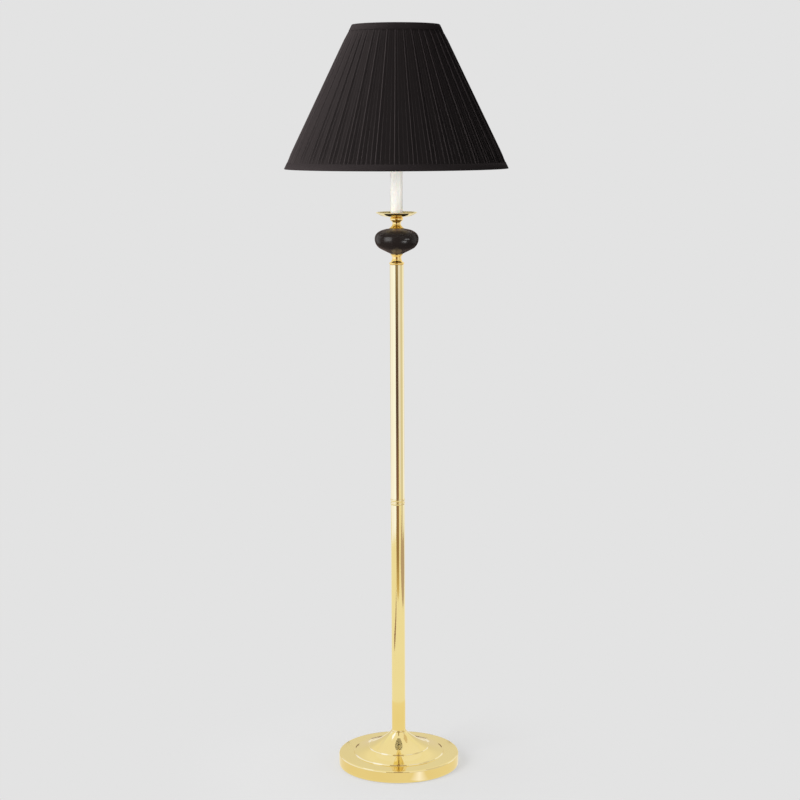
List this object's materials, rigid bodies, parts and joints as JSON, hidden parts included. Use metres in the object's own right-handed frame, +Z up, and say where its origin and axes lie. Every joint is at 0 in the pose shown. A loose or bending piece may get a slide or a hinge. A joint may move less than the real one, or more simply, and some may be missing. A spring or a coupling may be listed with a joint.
{
  "type": "column floor lamp",
  "caption": "Brass column floor lamp with a round weighted base, a black ball, a candle sleeve and a black pleated shade on a harp.",
  "frame": {"origin": "on the floor under the middle of the base", "axes": "+Z up along the column, the switch knob faces -Y, the flex's inlet is at +Y, the harp's bow lies in the XZ plane"},
  "size_m": [0.4569, 0.457, 1.551],
  "materials": {
    "polished_brass": "polished and lacquered",
    "cast_iron": "rough cast",
    "green_felt": "pressed felt",
    "zinc_steel": "zinc plated",
    "black_plastic": "moulded",
    "black_lacquer": "black gloss lacquer on turned wood",
    "ivory_sleeve": "satin off-white",
    "card_liner": "plain",
    "bulb_shell": "rolled",
    "opal_glass": "opal",
    "lining": "styrene-backed card, matt white",
    "pleated_cloth": "black, finely woven, knife pleated",
    "binding_tape": "black, smooth"
  },
  "bodies": {
    "stand": {"base_shell": "polished_brass", "base_collar": "polished_brass", "lower_column": "polished_brass", "column_ring": "polished_brass", "upper_column": "polished_brass", "lower_neck": "polished_brass", "upper_neck": "polished_brass", "drip_pan": "polished_brass", "candle_seat": "polished_brass", "candle_cap": "polished_brass", "harp_saddle": "polished_brass", "socket_cap": "polished_brass", "socket_shell": "polished_brass", "terminal_screws": "polished_brass", "centre_contact": "polished_brass", "screw_shell": "polished_brass", "harp": "polished_brass", "harp_stud": "polished_brass", "base_weight": "cast_iron", "base_felt": "green_felt", "base_washer": "zinc_steel", "lock_washer": "zinc_steel", "base_nut": "zinc_steel", "lower_rod": "zinc_steel", "upper_rod": "zinc_steel", "cap_screw": "zinc_steel", "cord_bushing": "black_plastic", "socket_body": "black_plastic", "ball": "black_lacquer", "candle_sleeve": "ivory_sleeve", "socket_liner": "card_liner"},
    "switch_key": {"knob_shaft": "polished_brass", "switch_knob": "black_plastic"},
    "bulb": {"bulb_cap": "bulb_shell", "bulb_insulator": "black_plastic", "bulb_glass": "opal_glass"},
    "left_lock": {"left_ferrule": "polished_brass"},
    "right_lock": {"right_ferrule": "polished_brass"},
    "shade": {"shade_spider": "polished_brass", "top_ring": "polished_brass", "bottom_ring": "polished_brass", "shade_lining": "lining", "shade_cover": "pleated_cloth", "top_trim": "binding_tape", "bottom_trim": "binding_tape"},
    "finial": {"finial": "polished_brass"}
  },
  "joints": [
    {"name": "switch_turn", "type": "hinge", "parent": "stand", "child": "switch_key", "pos_m": [0, -0.0165, 1.2963], "axis": [0, -1, 0], "continuous": true},
    {"name": "bulb_turn", "type": "hinge", "parent": "stand", "child": "bulb", "pos_m": [0, 0, 1.3243], "axis": [0, 0, 1], "continuous": true},
    {"name": "left_ferrule_slide", "type": "slide", "parent": "stand", "child": "left_lock", "axis": [0, 0, 1], "range_m": [0, 0.014]},
    {"name": "right_ferrule_slide", "type": "slide", "parent": "stand", "child": "right_lock", "axis": [0, 0, 1], "range_m": [0, 0.014]},
    {"name": "shade_turn", "type": "hinge", "parent": "stand", "child": "shade", "pos_m": [0, 0, 1.5333], "axis": [0, 0, 1], "continuous": true},
    {"name": "finial_turn", "type": "hinge", "parent": "stand", "child": "finial", "pos_m": [0, 0, 1.5383], "axis": [0, 0, 1], "continuous": true}
  ]
}
